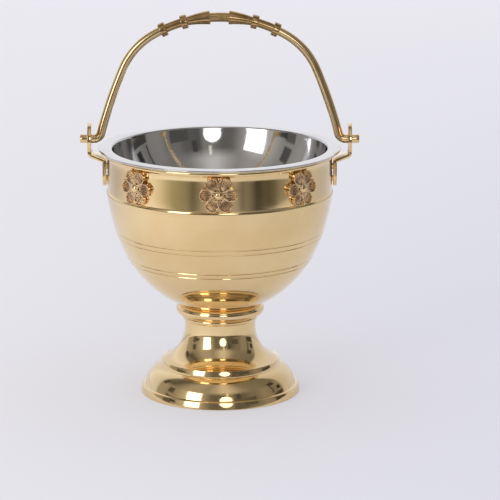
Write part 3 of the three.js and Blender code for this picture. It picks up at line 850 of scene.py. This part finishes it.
grip = turn("grip_fine", grip_section, 56, GRIP_SMOOTH_DEG)
grip.rotation_euler.y = pi / 2
apply_place(grip)
bend_angle = 2 * outer_ring_out / CROWN_R
apply_modifier(grip, "SIMPLE_DEFORM", deform_method="BEND", deform_axis="Z", angle=bend_angle)
grip.rotation_euler.x = -pi / 2
grip.location.z = mm(CROWN_MIDDLE_Z + CROWN_R)
apply_place(grip)
seat(grip, "bail", "bail_grip", slot="turned_brass")

# %% [markdown]
# Centre bolt. It passes through bowl, collar and foot and pulls them together with a washer at each end and
# a nut under the foot's top, where it can be seen when the bucket is tipped.

# %% Centre bolt, washers and nut
WASHER_R = 8
WASHER_EDGE = ((-0.1, 0), (0, 0.1), (0, 0.75), (-0.25, 1))
WASHER_BORE = ((0.2, 1), (0, 0.8))
BOLT_R = 3
BOLT_TAIL_Z = 28.5
BOLT_TAIL_BREAK = 0.6
BOLT_HEAD_Z = 48.5
BOLT_HEAD_R = 6
BOLT_HEAD_EDGE = 1.2
BOLT_HEAD_H = 3
BOLT_DOME_MIDDLE = (2.8, BOLT_HEAD_Z - 0.4)
BOLT_DOME_R = 3.4
BOLT_DOME_FROM_DEG = 27
NUT_FLATS = 10
NUT_FROM, NUT_TO = 30.5, 35.5
NUT_CHAMFER = 0.55
NUT_BREAK = 0.3
NUT_SPARE = 0.1
NUT_SMOOTH_DEG = 20
THREAD_PITCH = 1
THREAD_SHAPE = ((0, 0.1), (0, 0.25), (-0.35, 0.6))
THREAD_PAST_NUT = 0.2


def washer(name, low):
    """A washer with its edges broken, more on its upper side."""
    edge = [(WASHER_R + out, low + up) for out, up in WASHER_EDGE]
    bore = [(BORE_R + out, low + up) for out, up in WASHER_BORE]
    return turn(name, [(BORE_R, low), *edge, *bore], 72)


seat(washer("washer_upper_fine", SEAT_Z + BOWL_WALL), "bucket", "bolt_washer_upper", slot="bolt_steel")
seat(washer("washer_lower_fine", NUT_TO), "bucket", "bolt_washer_lower", slot="bolt_steel")

thread = []
thread_steps = int((NUT_TO - BOLT_TAIL_Z - BOLT_TAIL_BREAK) / THREAD_PITCH)
for i in range(thread_steps):
    low = BOLT_TAIL_Z + BOLT_TAIL_BREAK + i * THREAD_PITCH
    thread += [(BOLT_R + out, low + up) for out, up in THREAD_SHAPE]
bolt_section = [
    (0, BOLT_TAIL_Z),
    (BOLT_R - BOLT_TAIL_BREAK, BOLT_TAIL_Z),
    *thread,
    (BOLT_R, NUT_TO + THREAD_PAST_NUT),
    (BOLT_R, BOLT_HEAD_Z),
    (BOLT_HEAD_R, BOLT_HEAD_Z),
    (BOLT_HEAD_R, BOLT_HEAD_Z + BOLT_HEAD_EDGE),
    *arc(BOLT_DOME_MIDDLE, BOLT_DOME_R, BOLT_DOME_FROM_DEG, 90, 8),
    (0, BOLT_HEAD_Z + BOLT_HEAD_H),
]
seat(turn("bolt_fine", bolt_section, 64), "bucket", "centre_bolt", slot="bolt_steel")

deselect()
nut_corner = NUT_FLATS / 2 / cos(pi / 6)
bpy.ops.mesh.primitive_cylinder_add(
    vertices=6,
    radius=mm(nut_corner),
    depth=mm(NUT_TO - NUT_FROM),
    location=(0, 0, mm((NUT_FROM + NUT_TO) / 2)),
    rotation=(0, 0, pi / 6),
)
nut = apply_place(bpy.context.object)
nut.name = "nut_fine"
chamfer_section = [
    (0, NUT_FROM),
    (NUT_FLATS / 2 - NUT_SPARE, NUT_FROM),
    (nut_corner + NUT_SPARE, NUT_FROM + NUT_CHAMFER),
    (nut_corner + NUT_SPARE, NUT_TO - NUT_BREAK),
    (nut_corner - NUT_BREAK, NUT_TO),
    (0, NUT_TO),
]
cut(nut, turn("nut_chamfer", chamfer_section, 72), "INTERSECT")
drill_from, drill_to = NUT_FROM - SPARE, NUT_TO + SPARE
drill_section = [(0, drill_from), (BORE_R, drill_from), (BORE_R, drill_to), (0, drill_to)]
cut(nut, turn("nut_bore", drill_section, 48), "DIFFERENCE")
finish_faces(nut, NUT_SMOOTH_DEG)
seat(nut, "bucket", "bolt_nut", slot="bolt_steel")

# %% [markdown]
# Finishes. Each material is one metal with the process that shaped it. Colours are written as the hex codes
# seen on a screen and turned linear by one function. One small function adds a node, sets it and links it,
# and the patterns that several metals share are built from it. A Mix node keeps its colours in its seventh
# and eighth inputs, so these places have names.

# %% Tools for materials
SHARE, FIRST, SECOND = 0, 6, 7
CLOUD_FROM, CLOUD_TO = 0.35, 0.7


def srgb(code):
    """A hex colour as the linear red, green, blue and alpha that nodes want."""
    shares = [int(code[i : i + 2], 16) / 255 for i in (1, 3, 5)]
    return (*[s / 12.92 if s <= 0.04045 else ((s + 0.055) / 1.055) ** 2.4 for s in shares], 1)


def node(tree, kind, inputs, **settings):
    """Adds a node, or sets a given one. An input is a value, a socket or a node's first live output."""
    made = tree.nodes.new("ShaderNode" + kind) if isinstance(kind, str) else kind
    for setting, value in settings.items():
        setattr(made, setting, value)
    for name, value in inputs.items():
        if isinstance(value, bpy.types.Node):
            value = next(socket for socket in value.outputs if socket.enabled)
        if isinstance(value, bpy.types.NodeSocket):
            tree.links.new(value, made.inputs[name])
        else:
            made.inputs[name].default_value = value
    return made


def patches(tree, where, size, low, high, detail=3):
    """Cloudy patches about size millimetres across, that run from low to high."""
    cloud = node(tree, "TexNoise", {"Vector": where, "Scale": 1 / mm(size), "Detail": detail})
    spread = {"From Min": CLOUD_FROM, "From Max": CLOUD_TO, "To Min": low, "To Max": high}
    return node(tree, "MapRange", {"Value": cloud, **spread})


def tarnished(tree, where, size, colour, tarnish):
    """A metal's colour, which turns to its tarnish in cloudy patches."""
    tone = {SHARE: patches(tree, where, size, 0, 1), FIRST: srgb(colour), SECOND: srgb(tarnish)}
    return node(tree, "Mix", tone, data_type="RGBA")


def start_metal(name):
    """A new material of bare metal, with its node tree, its shader and the place on the piece."""
    material = bpy.data.materials.new(name)
    material.use_nodes = True
    tree = material.node_tree
    shader = node(tree, tree.nodes["Principled BSDF"], {"Metallic": 1})
    return material, tree, shader, node(tree, "TexCoord", {}).outputs["Object"]


def dress(material, *names):
    """Gives pieces their finish."""
    for name in names:
        mesh = bpy.data.objects[name].data
        mesh.materials.clear()
        mesh.materials.append(material)
    print(material.name, "on", *names)


print("middle grey is", srgb("#777777"))

# %% [markdown]
# Spun metal, polished. The wheel ran round the axis, so the finest scratches run round it too and streak
# every highlight upwards. The tangent is worked out from the place on the piece. Faint rings come from a
# noise that changes only with radius and height. They are half a millimetre wide, coarser than a wheel
# leaves them, so that they show. A thin uneven tarnish shifts the colour. The brass has a clear lacquer,
# which lays a white gloss over the gold where the surface is seen at a slant.

# %% Spun brass and spun steel
RING_SIZE = 0.5
RING_ROUGHNESS = 0.03
SMEAR_SIZE = 7
SMEAR_ROUGHNESS = 0.05
WAVE_SIZE = 18
WAVE_WEIGHT = 2.5
WAVE_DEPTH = 0.003
STAIN_SIZE = 22


def lathe_rings(tree, position, size):
    """Fine rings that are the same all round the axis, as the tool and the wheel leave them."""
    parts = node(tree, "SeparateXYZ", {0: position}).outputs
    flat = node(tree, "CombineXYZ", {"X": parts[0], "Y": parts[1]})
    radius = node(tree, "VectorMath", {0: flat}, operation="LENGTH").outputs["Value"]
    section = node(tree, "CombineXYZ", {"X": radius, "Z": parts[2]})
    return node(tree, "TexNoise", {"Vector": section, "Scale": 1 / mm(size), "Detail": 2})


def spun_metal(name, colour, tarnish, roughness, anisotropy, lacquer):
    material, tree, shader, position = start_metal(name)
    rings = lathe_rings(tree, position, RING_SIZE)
    change = {"Value": rings, "To Min": -RING_ROUGHNESS, "To Max": RING_ROUGHNESS}
    smears = patches(tree, position, SMEAR_SIZE, roughness, roughness + SMEAR_ROUGHNESS, 6)
    rough = node(tree, "Math", {0: node(tree, "MapRange", change), 1: smears}, operation="ADD")
    swell = {0: patches(tree, position, WAVE_SIZE, 0, 1, 0), 1: WAVE_WEIGHT, 2: rings}
    waves = node(tree, "Math", swell, operation="MULTIPLY_ADD")
    up = node(tree, "CombineXYZ", {"Z": 1})
    around = node(tree, "VectorMath", {0: up, 1: position}, operation="CROSS_PRODUCT")
    surface = {
        "Base Color": tarnished(tree, position, STAIN_SIZE, colour, tarnish),
        "Roughness": rough,
        "Anisotropic": anisotropy,
        "Tangent": around,
        "Coat Weight": lacquer,
        "Coat Roughness": 0.04,
        "Normal": node(tree, "Bump", {"Height": waves, "Distance": mm(WAVE_DEPTH)}),
    }
    node(tree, shader, surface)
    return material


spun_brass = spun_metal("spun brass, wheel polished and lacquered", "#F5DAA5", "#EFCF97", 0.06, 0.3, 0.8)
dress(spun_brass, "spun_foot", "spun_bowl")
liner_steel = spun_metal("stainless steel, spun and mirror polished", "#DADADD", "#D0D1D5", 0.05, 0.3, 0)
dress(liner_steel, "steel_liner")

# %% [markdown]
# Turned and drawn brass, and plated steel. They were buffed by hand, so their scratches have no one
# direction: a fine cloud in the roughness and a very shallow unevenness do for all of them. The grip is
# turned brass without lacquer, and duller. Its colours are painted darker and browner than the other
# brass, as painted shade for the dim room that it mirrors.

# %% Buffed metals
BUFF_ROUGHNESS = 0.04
BUFF_DEPTH = 0.0025


def buffed_metal(name, colour, tarnish, roughness, size, lacquer):
    material, tree, shader, position = start_metal(name)
    uneven = patches(tree, position, size, 0, 1, 0)
    surface = {
        "Base Color": tarnished(tree, position, size, colour, tarnish),
        "Roughness": patches(tree, position, size / 4, roughness, roughness + BUFF_ROUGHNESS, 4),
        "Coat Weight": lacquer,
        "Coat Roughness": 0.05,
        "Normal": node(tree, "Bump", {"Height": uneven, "Distance": mm(BUFF_DEPTH)}),
    }
    node(tree, shader, surface)
    return material


turned_brass = buffed_metal("turned brass, buffed and lacquered", "#F5D7A4", "#EDCB92", 0.055, 9, 0.8)
rod_brass = buffed_metal("drawn brass rod, bent and buffed", "#F2D6A6", "#E6C690", 0.15, 8, 0.6)
# The grip's colours are painted darker and browner as painted shade. Its roughness and bare finish are its
# own.
grip_brass_painted_shade = buffed_metal("turned brass, darkened as painted shade", "#CFAE7E", "#A58459", 0.16, 6, 0)
bolt_steel = buffed_metal("zinc plated steel", "#C9CBD0", "#AEB1B8", 0.3, 5, 0)
dress(
    turned_brass,
    "turned_collar",
    "ear_right_fine",
    "ear_left_fine",
    *[f"rivet_{side}_{rank}" for side in ("right", "left") for rank in ("lower", "upper")],
    *[f"pin_{place}_fine" for place in ROSETTES],
)
dress(grip_brass_painted_shade, "grip_fine")
dress(rod_brass, "arm_right_fine", "arm_left_fine")
dress(bolt_steel, "washer_upper_fine", "washer_lower_fine", "bolt_fine", "nut_fine")

# %% [markdown]
# Cast bronze, antiqued. The flowers were darkened all over and then rubbed bright, so the dark stays where a
# thumb can't reach. Ambient occlusion finds those hollows: it measures how closed in each point is, here
# within half a millimetre. The mould's sand left a grain, drawn a little coarser than it is, so that it
# shows.

# %% Cast bronze
HOLLOW_REACH = 0.5
RUB_SIZE = 2.5
DARK_BELOW, BRIGHT_ABOVE = 0.42, 0.8
DARK_ROUGHNESS, BRIGHT_ROUGHNESS = 0.4, 0.17
SAND_SIZE = 0.5
SAND_DEPTH = 0.004

cast_bronze, tree, shader, position = start_metal("cast bronze, antiqued and rubbed")
hollows = node(tree, "AmbientOcclusion", {"Distance": mm(HOLLOW_REACH)}, samples=16, only_local=True)
openness = {"Value": hollows.outputs["AO"], "From Min": DARK_BELOW, "From Max": BRIGHT_ABOVE}
rubbed = node(tree, "MapRange", openness)
bright = tarnished(tree, position, RUB_SIZE, "#EDCFA8", "#D9B68A")
tone = {SHARE: rubbed, FIRST: srgb("#3E2E1C"), SECOND: bright}
gloss = {"Value": rubbed, "To Min": DARK_ROUGHNESS, "To Max": BRIGHT_ROUGHNESS}
sand = node(tree, "TexNoise", {"Vector": position, "Scale": 1 / mm(SAND_SIZE), "Detail": 2})
surface = {
    "Base Color": node(tree, "Mix", tone, data_type="RGBA"),
    "Roughness": node(tree, "MapRange", gloss),
    "Normal": node(tree, "Bump", {"Height": sand, "Distance": mm(SAND_DEPTH)}),
}
node(tree, shader, surface)
dress(cast_bronze, *[f"rosette_{place}_fine" for place in ROSETTES])

# %% [markdown]
# Stage. Polished metal shows the room it stands in, so the room is laid out as in a studio: a white sheet
# under and behind the bucket, a soft square lamp at the front left, a round one beside the camera, and a dim
# room round them. A colour ramp over the compass angle says how bright each side is, and further colours are
# laid over it by shares, like coats of paint.

# %% Painting what the metal mirrors
def compass(tree, parts):
    """The angle of a direction in radians. It is 0 at the front and grows to the right."""
    forwards = node(tree, "Math", {0: parts[1], 1: -1}, operation="MULTIPLY")
    return node(tree, "Math", {0: parts[0], 1: forwards}, operation="ARCTAN2")


def by_compass(tree, angle, stops):
    """Colours round the bucket. The stops say what colour is at what angle in degrees."""
    span = {"Value": angle, "From Min": -pi, "From Max": pi}
    colours = node(tree, "ValToRGB", {0: node(tree, "MapRange", span)})
    marks = colours.color_ramp.elements
    while len(marks) < len(stops):
        marks.new(0.5)
    for mark, (angle_deg, code) in zip(marks, stops.items()):
        mark.position = 0.5 + angle_deg / 360
        mark.color = srgb(code)
    print("a ramp of", len(marks), "colours from", min(stops), "to", max(stops), "degrees")
    return colours


def coated(tree, colour, *coats):
    """A colour with others laid over it in turn. Each coat is a share and a colour."""
    for share, coat in coats:
        tone = {SHARE: share, FIRST: colour, SECOND: coat}
        colour = node(tree, "Mix", tone, data_type="RGBA")
    return colour


# %% [markdown]
# Floor. The camera sees pale paper everywhere, painted a little darker towards the right and lighter towards
# the back, which is painted shade and light. Mirrors see a brighter copy of the paper, painted darker
# towards the right and towards the sides behind the bucket, which is painted light and shade too. In mirrors
# the sheet ends 44 centimetres in front of the bucket, and past its curved edge lies the dark floor of the
# room, whose colours round the compass are painted light and shade: brightest on the left, darkest to the
# front right, and darker further off. A part of the paper's light is its own glow, so that it looks white
# without more light on the bucket.

# %% Floor
FLOOR_SIZE = 12000
PAPER_GLOW = 0.4
SHEET_FRONT = -440
SHEET_CURVE = 1.1
EDGE_BLUR = 20
SIDE_FADE = (50, 450)
# Each fade has its axis, 0 for X or 1 for Y, and its start and end along it.
TO_RIGHT = (0, -180, 200)
TO_BACK = (1, 200, 1400)
MIRROR_TO_RIGHT = (0, -300, 200)
MIRROR_TO_BACK = (1, -100, 300)
TO_FAR_FRONT = (1, -560, -700)
# The room's floor past the sheet, by compass angle: painted light and shade, brightest on the left.
ROOM_FLOOR_PAINTED_LIGHT = {
    -75: "#F4F2EE", -66: "#F0EEE8", -58: "#D9D5C8", -52: "#B9B6A3", -46: "#9F9C85", -38: "#8F8D74",
    -31: "#807D68", -25: "#5C5749", -20: "#7E7A72", -13: "#A6A29C", 0: "#B0AAA2", 16: "#A39E98",
    22: "#6E6A62", 27: "#7E7972", 32: "#635E58", 36: "#393531", 40: "#3F3A36", 44: "#555147",
    49: "#504D44", 55: "#656154", 62: "#8A8679", 71: "#A09E96", 80: "#BEBBB4",
}

deselect()
bpy.ops.mesh.primitive_plane_add(size=mm(FLOOR_SIZE))
floor = bpy.context.object
floor.name = "floor"
paper = bpy.data.materials.new("white paper sheet")
paper.use_nodes = True
tree = paper.node_tree
parts = node(tree, "SeparateXYZ", {0: node(tree, "TexCoord", {}).outputs["Object"]}).outputs
fades = []
for axis, start, end in (TO_RIGHT, TO_BACK, MIRROR_TO_RIGHT, MIRROR_TO_BACK, TO_FAR_FRONT):
    span = {"Value": parts[axis], "From Min": mm(start), "From Max": mm(end)}
    fades.append(node(tree, "MapRange", span))
to_right, to_back, mirror_to_right, mirror_to_back, to_far_front = fades
off_middle = node(tree, "Math", {0: parts[0]}, operation="ABSOLUTE")
span = {"Value": off_middle, "From Min": mm(SIDE_FADE[0]), "From Max": mm(SIDE_FADE[1])}
to_sides = node(tree, "MapRange", span)
square = node(tree, "Math", {0: parts[0], 1: parts[0]}, operation="MULTIPLY")
edge_line = {0: square, 1: SHEET_CURVE, 2: mm(SHEET_FRONT)}
edge = node(tree, "Math", edge_line, operation="MULTIPLY_ADD")
beyond = node(tree, "Math", {0: edge, 1: parts[1]}, operation="SUBTRACT")
past_edge = node(tree, "MapRange", {"Value": beyond, "From Min": -mm(EDGE_BLUR), "From Max": mm(EDGE_BLUR)})
is_glossy = node(tree, "LightPath", {}).outputs["Is Glossy Ray"]
for_camera = node(tree, "LightPath", {}).outputs["Is Camera Ray"]

# The paper's colour is painted darker towards the right and lighter towards the back: painted shade and
# light. Its glow takes the same colour.
sheet = coated(tree, srgb("#E9E8EC"), (to_right, srgb("#DFDFE7")), (to_back, srgb("#EFEEF3")))
# In mirrors the paper behind the bucket is painted darker towards the sides: painted shade.
back_sheet_painted_shade = coated(tree, srgb("#EBEAED"), (to_sides, srgb("#C6C5C8")))
# Past the sheet's edge mirrors see the room's floor, painted darker further off: painted light and shade.
front = by_compass(tree, compass(tree, parts), ROOM_FLOOR_PAINTED_LIGHT)
room_floor_painted_light = coated(tree, front, (to_far_front, srgb("#4F4941")))
# Mirrors see a brighter copy of the paper, painted darker towards the right: painted light and shade.
mirror_painted_light = ((mirror_to_right, srgb("#DAD7D4")), (mirror_to_back, back_sheet_painted_shade), (past_edge, room_floor_painted_light))
colour = coated(tree, sheet, (is_glossy, coated(tree, srgb("#FBFAFB"), *mirror_painted_light)))
glow = node(tree, "Math", {0: for_camera, 1: PAPER_GLOW}, operation="MULTIPLY")
unlit = node(tree, "Math", {0: for_camera, 1: -PAPER_GLOW, 2: 1}, operation="MULTIPLY_ADD")
lit = node(tree, "VectorMath", {0: colour, "Scale": unlit}, operation="SCALE")
paper_look = {"Base Color": lit, "Roughness": 0.9, "Emission Color": sheet, "Emission Strength": glow}
node(tree, tree.nodes["Principled BSDF"], paper_look)
floor.data.materials.append(paper)
print("the floor starts at", in_mm(floor.bound_box[0]))

# %% [markdown]
# The world is even and pale for the camera and for the floor's light, and only mirror rays see the dim room.
# Two rings of colour, one low and one high, give its walls and its ceiling. The white sheet hangs behind,
# and a few dark blocks stand for the furniture that breaks up a polished surface. One near-white block,
# above the round lamp, is a painted highlight that only the metal shows. Each block has its compass
# angles, its angles above the floor and its colour.

# %% World
CEILING_FROM, CEILING_TO = 0.46, 0.62
SHEET_FROM, SHEET_TO = 0.33, 0.42
ROOM_LOW = {
    -180: "#959089", -120: "#959089", -105: "#A39E97", -90: "#98938C", -75: "#98938C", -60: "#B9B4AC",
    -45: "#CBC6BF", -24: "#98938C", -14: "#6E6B66", -4: "#69665F", 6: "#7A766F", 19: "#8A867F",
    24: "#5E5B57", 42: "#6A6762", 50: "#7C7873", 62: "#7C7873", 72: "#918C86", 84: "#8C8882",
    94: "#7C7974", 103: "#8E8A84", 112: "#94908A", 130: "#959089",
}
ROOM_HIGH = {
    -180: "#959089", -120: "#7C7873", -96: "#5A5754", -84: "#7E7A75", -60: "#A8A39C", -40: "#AAA49C",
    -24: "#98938C", -10: "#B0ABA5", 4: "#D0CCC6", 15: "#D2CDC7", 25: "#BDB8B1", 40: "#98938C",
    55: "#837F79", 90: "#7C7974", 120: "#76736E", 180: "#959089",
}
SHEET = {
    -180: "#FBFAFC", -174: "#F8F7F9", -167: "#E1E0E2", -158: "#E1E0E2", -148: "#F2F1F4", -135: "#E4E3E6",
    -115: "#D4D3D6", 112: "#C6C4C5", 135: "#D4D2D2", 150: "#DDDCDD", 167: "#DEDDDE", 174: "#F8F7F9",
    180: "#FBFAFC",
}
BLOCKS = (
    (89, 113, 0, 8, "#45423F"),
    (101, 109, 11, 20, "#302F2E"),
    (90, 104, 27, 37, "#45423F"),
    (89.5, 91.5, 10, 27, "#383634"),
    (-90, -78, 14, 27, "#55524E"),
    (-91, -77, 0, 10, "#625E59"),
    (-117, -105, 26, 40, "#4A4743"),
    (-79, -68, 4, 8, "#3F3D3B"),
    (36, 58, 6, 17, "#56534F"),
    (27, 33, 18, 30, "#4A4744"),
    # A painted highlight: a near-white patch above the round lamp, seen only in mirrors.
    (10.5, 13.5, 25, 35, "#FFFBEA"),
)

world = bpy.data.worlds.new("studio")
bpy.context.scene.world = world
world.use_nodes = True
tree = world.node_tree
parts = node(tree, "SeparateXYZ", {0: node(tree, "TexCoord", {}).outputs["Generated"]}).outputs
angle = compass(tree, parts)
height = node(tree, "Math", {0: parts[2]}, operation="ARCSINE")
coats = []
for from_deg, to_deg, low_deg, high_deg, code in BLOCKS:
    within = []
    for value, low, high in ((angle, from_deg, to_deg), (height, low_deg, high_deg)):
        near = {0: value, 1: radians((low + high) / 2), 2: radians((high - low) / 2)}
        within.append(node(tree, "Math", near, operation="COMPARE"))
    coats.append((node(tree, "Math", {0: within[0], 1: within[1]}, operation="MULTIPLY"), srgb(code)))
upwards = node(tree, "MapRange", {"Value": parts[2], "From Min": CEILING_FROM, "From Max": CEILING_TO})
on_sheet = node(tree, "MapRange", {"Value": parts[1], "From Min": SHEET_FROM, "From Max": SHEET_TO})
coats = [(upwards, by_compass(tree, angle, ROOM_HIGH)), *coats, (on_sheet, by_compass(tree, angle, SHEET))]
seen_in_metal = coated(tree, by_compass(tree, angle, ROOM_LOW), *coats)
is_glossy = node(tree, "LightPath", {}).outputs["Is Glossy Ray"]
seen = coated(tree, srgb("#F4F4F8"), (is_glossy, seen_in_metal))
node(tree, tree.nodes["Background"], {"Color": seen, "Strength": 1})
print("the room has", len(BLOCKS), "blocks")

# %% [markdown]
# Two lamps, out of the camera's sight but not out of the metal's. They are weak, because the world gives
# most of the light, and large, so that their shadows stay soft.

# %% Lamps
LAMP_DISTANCE = 2400
LAMP_AIM_Z = 100


def lamp(name, azimuth_deg, elevation_deg, power, width, height, shape="RECTANGLE"):
    """A soft lamp aimed at the bucket. Azimuth 0 is the front, and a positive one is to the right."""
    light = bpy.data.lights.new(name, "AREA")
    light.shape = shape
    light.size = mm(width)
    light.size_y = mm(height)
    light.energy = power
    lamp_object = bpy.data.objects.new(name, light)
    azimuth, lift = radians(azimuth_deg), radians(elevation_deg)
    level = cos(lift)
    outwards = Vector((sin(azimuth) * level, -cos(azimuth) * level, sin(lift)))
    lamp_object.location = Vector((0, 0, mm(LAMP_AIM_Z))) + outwards * mm(LAMP_DISTANCE)
    lamp_object.rotation_euler = outwards.to_track_quat("Z", "Y").to_euler()
    lamp_object.visible_camera = False
    bpy.context.scene.collection.objects.link(lamp_object)
    print(name, "at", in_mm(lamp_object.location))


lamp("softbox", -41, 14.5, 9.5, 940, 1250)
lamp("round lamp", 9, 12.5, 3.6, 800, 800, "DISK")
